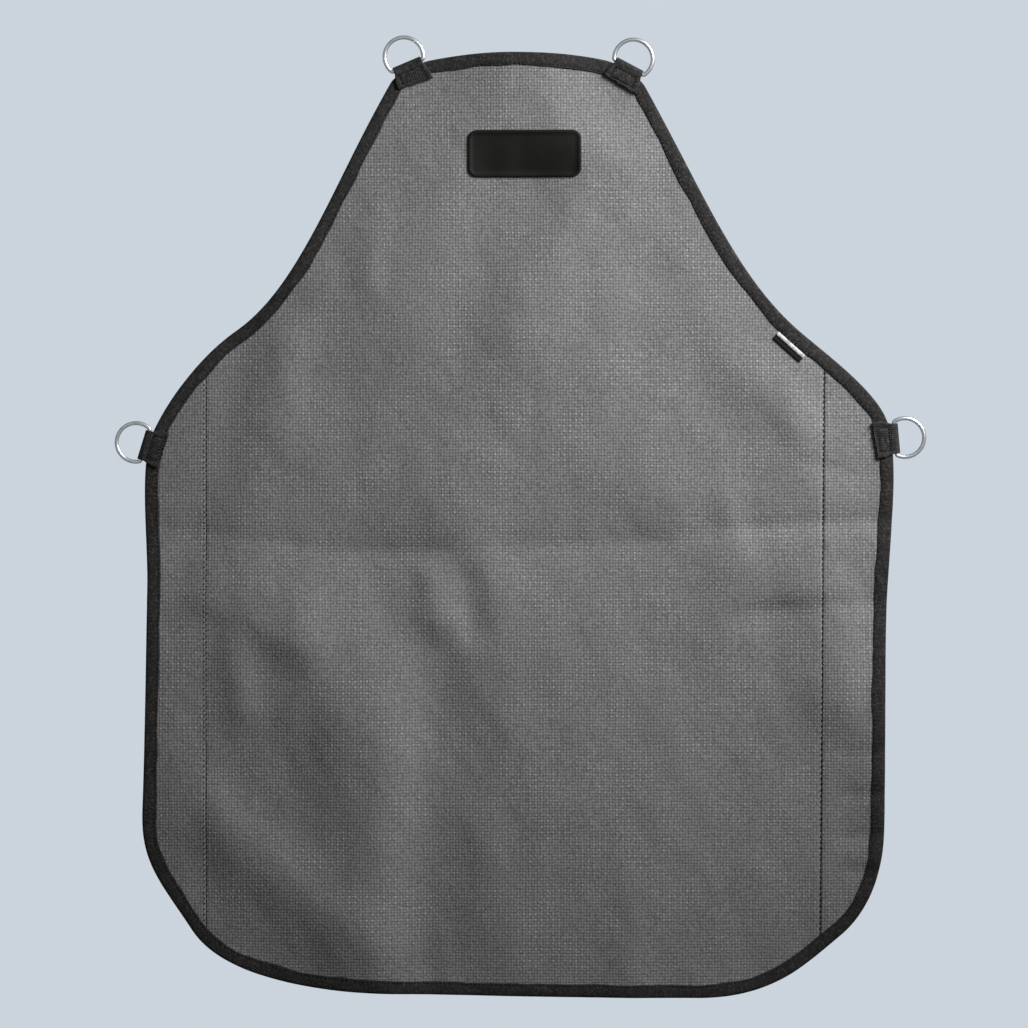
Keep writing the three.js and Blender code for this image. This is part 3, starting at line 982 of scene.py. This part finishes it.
def tab(name, place):
    """Webbing folded round the bar of the ring, with its two ends sewn over the binding."""
    stations = tab_stations()
    tails = TAB_TAILS[name]
    half_thick = TAB_THICKNESS / 2
    # the section: one face, then the other, with rounded sides; (share of half width, side)
    columns = evenly(-1, 1, 2 / TAB_COLUMNS)
    section = [(share, -1) for share in columns] + [(TAB_BULGE, 0)]
    section += [(share, 1) for share in reversed(columns)] + [(-TAB_BULGE, 0)]
    sections = []
    for out, depth, (n_out, n_depth) in stations:
        sewn = max(0, -out / TAB_REACH)
        half = (TAB_WIDTH + (TAB_SEWN_WIDTH - TAB_WIDTH) * sewn) / 2
        half += TAB_FLARE * smooth(*TAB_FLARES, sewn)
        ring = []
        for share, face in section:
            side = share * half
            thin = half_thick * (1 - TAB_THINNED * smooth(TAB_THIN_FROM, 1, abs(share))) * face
            if face > 0:
                thin -= tab_dent(side, out)
            spot = [place * rag for place, rag in zip((side, depth, tails[0]), TAB_RAGS)]
            ragged = TAB_RAGGED * noise.noise(Vector(spot))
            tail = tails[0] + (tails[1] - tails[0]) * (share + 1) / 2
            reach = out - sewn**2 * (tail + ragged)
            ring.append(place.at(side, reach + n_out * thin, depth + n_depth * thin))
        sections.append(ring)
    around = [(share * TAB_WIDTH / 2, face * half_thick) for share, face in section]
    middle = [(out, depth) for out, depth, _ in stations]
    shape = Shape().loft(sections, running(middle), running(around))
    return shape.piece(name + "_webbing", (WEBBING,), "apron", "webbing", name + "_tab")


TAB_STITCH_PITCH = 2.9 * MM
TAB_STITCH_LENGTH = 2.3 * MM
TAB_STITCH_START = 0.3 * MM
TAB_THREAD_RADIUS = 0.36 * MM
TAB_FACE = TAB_TURN + TAB_THICKNESS / 2 - 0.40 * MM  # the face, pressed in by the thread


def tab_stitches(name, place):
    """A box of stitches on each face of a tab."""
    near, far = TAB_ROWS
    half = TAB_STITCH_HALF
    box = ((-half, near), (half, near), (half, far), (-half, far))
    corners = [Vector(corner) for corner in box]
    shape = Shape()
    for i, corner in enumerate(corners):
        start = corners[i - 1]
        run = (corner - start).normalized()
        for along in evenly(0, (corner - start).length, TAB_STITCH_PITCH)[:-1]:
            a = start + run * (along + TAB_STITCH_START)
            b = a + run * TAB_STITCH_LENGTH
            for out in (FRONT, BACK):
                ends = [place.at(*end, TAB_FACE * out.y) for end in (a, b)]
                add_stitch(shape, *ends, out, TAB_THREAD_RADIUS)
    node = name + "_tab_stitch"
    return shape.piece(name + "_tab_thread", (THREAD,), "apron", "thread", node)


RING_SIDES = 20
BAR_STEP = 1.5 * MM
CORNER_TURN = math.radians(12)  # steps round the ring's corners, and round its bow
BOW_TURN = math.radians(3)


def ring_line():
    """The wire's middle line as (sideways, outwards), once round from the middle of the bar."""
    reach = RING_RADIUS - RING_CORNER
    corner_x = math.sqrt(reach**2 - (RING_BAR_OFFSET - RING_CORNER) ** 2)
    turn = math.atan2(RING_CORNER - RING_BAR_OFFSET, corner_x)
    line = [(x, 0.0) for x in evenly(0, corner_x, BAR_STEP)]

    def arc(x, y, radius, start, end, step):
        for angle in evenly(start, end, step)[1:]:
            line.append((x + radius * math.cos(angle), y + radius * math.sin(angle)))

    arc(corner_x, RING_CORNER, RING_CORNER, -math.pi / 2, turn, CORNER_TURN)
    arc(0, RING_BAR_OFFSET, RING_RADIUS, turn, math.pi - turn, BOW_TURN)
    arc(-corner_x, RING_CORNER, RING_CORNER, math.pi - turn, 1.5 * math.pi, CORNER_TURN)
    return line + [(x, 0.0) for x in evenly(-corner_x, 0, BAR_STEP)[1:-1]]


def ring(name, place):
    """A D-ring bent from round wire."""
    line = ring_line()
    sections = []
    for i, (side, out) in enumerate(line):
        ahead, before = line[(i + 1) % len(line)], line[i - 1]
        run = Vector((ahead[0] - before[0], ahead[1] - before[1])).normalized()
        normal = Vector((run.y, -run.x))
        section = []
        for j in range(RING_SIDES):
            turn = 2 * math.pi * j / RING_SIDES
            off = RING_WIRE * math.cos(turn)
            depth = RING_WIRE * math.sin(turn)
            section.append(place.at(side + normal.x * off, out + normal.y * off, depth))
        sections.append(section)
    around = [i * RING_WIRE * 2 * math.pi / RING_SIDES for i in range(RING_SIDES)]
    shape = Shape().loft(sections, running(line), around, closed=True)
    node = name + "_ring"
    return shape.piece(name + "_ring_wire", (CHROME,), node, "ring_chrome", node)


for name, (bar, angle) in TABS.items():
    place = TabPlace(bar, angle)
    pieces += [tab(name, place), tab_stitches(name, place), ring(name, place)]

# -------- chest patch and side label
PATCH_CORNER = 7.3 * MM
PATCH_BACK = -0.9 * MM
# The patch's face from its edge inwards: (inset, depth), millimetres.
PATCH_FACE = ((0, 1.55), (0.25, 1.85), (0.7, 2.0), (1.9, 2.0), (2.3, 1.92), (2.6, 1.66))
PATCH_STEP = 3 * MM
PATCH_MARGIN = 6 * MM  # from its edge to the grid of points inside
CORNER_STEPS = 8


def patch_outline(centre, half, inset):
    """A rounded rectangle, inset from the patch's own outline."""
    radius = PATCH_CORNER - inset
    points = []
    for number, (sx, sz) in enumerate(((1, 1), (-1, 1), (-1, -1), (1, -1))):
        middle_x = centre.x + sx * (half.x - PATCH_CORNER)
        middle_z = centre.y + sz * (half.y - PATCH_CORNER)
        for step in range(CORNER_STEPS + 1):
            angle = math.radians(number * 90 + step * 90 / CORNER_STEPS)
            x = middle_x + radius * math.cos(angle)
            z = middle_z + radius * math.sin(angle)
            points.append(Vector((x, z)))
    return divided(points, PATCH_STEP)


def patch_inset(x, z, centre, half):
    """How far a place lies inside the patch's outline."""
    over_x = abs(x - centre.x) - (half.x - PATCH_CORNER)
    over_z = abs(z - centre.y) - (half.y - PATCH_CORNER)
    outside = math.hypot(max(over_x, 0), max(over_z, 0))
    return PATCH_CORNER - outside - min(max(over_x, over_z), 0)


def stepped(table, value):
    """Reads a table of (place, height) in millimetres at a place in metres."""
    place = value / MM
    if place <= table[0][0]:
        return table[0][1] * MM
    for (a, ya), (b, yb) in zip(table, table[1:]):
        if place <= b:
            return (ya + (yb - ya) * (place - a) / (b - a)) * MM
    return table[-1][1] * MM


def flat_box(node):
    """The lower left and upper right of a node, its centre, and half its size, as (x, z)."""
    low, high = (Vector((corner.x, corner.z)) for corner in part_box(node))
    return low, high, (low + high) / 2, (high - low) / 2


def patch():
    """The chest patch, with a raised rim round a sunken plain field."""
    low, high, centre, half = flat_box("chest_patch")
    outline = patch_outline(centre, half, 0)
    inner = []
    for inset, _ in PATCH_FACE[1:]:
        inner += patch_outline(centre, half, inset * MM)
    for x in evenly(low.x + PATCH_MARGIN, high.x - PATCH_MARGIN, CLOTH_STEP):
        for z in evenly(low.y + PATCH_MARGIN, high.y - PATCH_MARGIN, CLOTH_STEP):
            inner.append(Vector((x, z)))

    def front(x, z):
        return lain(x, -stepped(PATCH_FACE, patch_inset(x, z, centre, half)), z)

    shape = slab(outline, inner, front, lambda x, z: lain(x, PATCH_BACK, z))
    looks = (RUBBER, RUBBER)
    return shape.piece("chest_patch_rubber", looks, "apron", "patch_rubber", "chest_patch")


LABEL_HALF_LENGTH = 14.5 * MM
LABEL_STEP = 1.4 * MM
LABEL_ANGLE = math.radians(-42)
LABEL_BACK = -CLOTH_HALF - 0.32 * MM
LABEL_EDGE = 0.35 * MM  # how thick its free edge is, where it lifts off the cloth
# The label's face across its width, from the free black edge to the tape: (place, height), mm.
LABEL_FACE = (
    (-3.8, 1.46), (-2.6, 1.40), (-1.0, 1.34), (0.4, 1.36), (0.75, 1.72), (1.6, 1.8), (3.8, 1.70),
)


def label():
    """The small folded label beside the tape of the right armhole."""
    centre = flat_box("side_label")[2]
    run = Vector((math.cos(LABEL_ANGLE), math.sin(LABEL_ANGLE)))
    across = Vector((-run.y, run.x))
    stations = evenly(-LABEL_HALF_LENGTH, LABEL_HALF_LENGTH, LABEL_STEP)
    face = [(v * MM, -d * MM) for v, d in LABEL_FACE]
    back = [(v, LABEL_BACK) for v, _ in reversed(face)]
    back[-1] = (face[0][0], face[0][1] + LABEL_EDGE)
    section = face + back
    sections = []
    for along in stations:
        points = []
        for v, depth in section:
            flat = centre + run * along + across * v
            points.append(lain(flat.x, depth, flat.y))
        sections.append(points)
    shape = Shape().loft(sections, stations, [v for v, _ in section])
    return shape.piece("side_label_cloth", (LABEL,), "apron", "label_cloth", "side_label")


pieces += [patch(), label()]


# -------- studio
def lamp(name, location, target, size, power, spread=180, in_metal=True):
    """A square lamp aimed at a target. spread is how wide it shines, in degrees."""
    light = bpy.data.lights.new(name, "AREA")
    light.size = size
    light.energy = power
    light.spread = math.radians(spread)
    made = placed(name, light)
    made.location = location
    made.rotation_mode = "QUATERNION"
    made.rotation_quaternion = (Vector(target) - Vector(location)).to_track_quat("-Z", "Y")
    made.visible_glossy = in_metal


FLOOR_LEVEL = -1.60
FLOOR_REACH = 5.5
FLOOR_GLOW = (0.34, 0.37, 0.40, 1)


def floor():
    """A pale, evenly lit floor well below the hem. It sends no light up to the apron."""
    look = Look("floor_look", {"Emission Color": FLOOR_GLOW, "Emission Strength": 1.0})
    place = look.place
    cloud = look.noise(place, 1.5, 3)
    speck = look.noise(place, 120, 2)
    colour = look.mix(cloud, (0.60, 0.62, 0.64, 1), (0.66, 0.68, 0.70, 1))
    square = ((-1, -1), (1, -1), (1, 1), (-1, 1))
    corners = [(x * FLOOR_REACH, y * FLOOR_REACH, FLOOR_LEVEL) for x, y in square]
    mesh = bpy.data.meshes.new("floor")
    mesh.from_pydata(corners, [], [(0, 1, 2, 3)])
    mesh.materials.append(look.finish(colour, 0.8, speck, 0.2 * MM))
    made = placed("floor", mesh)
    made.visible_diffuse = False
    made.visible_glossy = False


BACKDROP = (0.60, 0.66, 0.72, 1)
BACKDROP_IN_METAL = 0.35  # how much of the backdrop the rings reflect
ROOM_AT_APRON = (0.085, 0.085, 0.085, 1)  # the light that the room sends back
ROOM_OVERHEAD = (0.02, 0.02, 0.02, 1)


def world():
    """A pale plain backdrop in a dim room, which is darker overhead."""
    made = bpy.data.worlds.new("studio")
    made.use_nodes = True
    nodes = Nodes(made.node_tree)
    direction = nodes.node("TexCoord", {}).outputs["Generated"]
    up = nodes.axes(direction)["Z"]
    room = nodes.ramp(up, (0.25, ROOM_AT_APRON), (0.75, ROOM_OVERHEAD))
    path = nodes.node("LightPath", {})
    in_metal = nodes.times(path.outputs["Is Glossy Ray"], BACKDROP_IN_METAL)
    seen = nodes.math("MAXIMUM", path.outputs["Is Camera Ray"], in_metal)
    background = made.node_tree.nodes["Background"]
    nodes.feed(background.inputs["Color"], nodes.mix(seen, room, BACKDROP))
    bpy.context.scene.world = made


CAMERA_DISTANCE = 3.5
FRAME_WIDTH = 0.8358  # what the picture spans at the apron
CAMERA_X = -0.0037
CAMERA_Z = -0.3705


def camera():
    """Straight in front of the apron, level with its middle, as in the photograph."""
    made = placed("camera", bpy.data.cameras.new("camera"))
    made.data.lens = made.data.sensor_width * CAMERA_DISTANCE / FRAME_WIDTH
    made.location = (CAMERA_X, -CAMERA_DISTANCE, CAMERA_Z)
    made.rotation_euler = (math.radians(90), 0, 0)
    bpy.context.scene.camera = made


floor()
world()
camera()
MIDDLE = (0.02, 0, -0.36)
CHEST = (0.0, 0, -0.31)
lamp("key", (0.92, -0.62, 0.46), CHEST, size=0.6, power=9.7, spread=86)
lamp("fill", (-0.6, -2.6, 0.6), MIDDLE, size=1.6, power=2.5)
lamp("back_light", (-1.05, 0.85, 0.40), MIDDLE, size=0.8, power=16, spread=110, in_metal=False)

bpy.context.scene.view_settings.view_transform = "Standard"
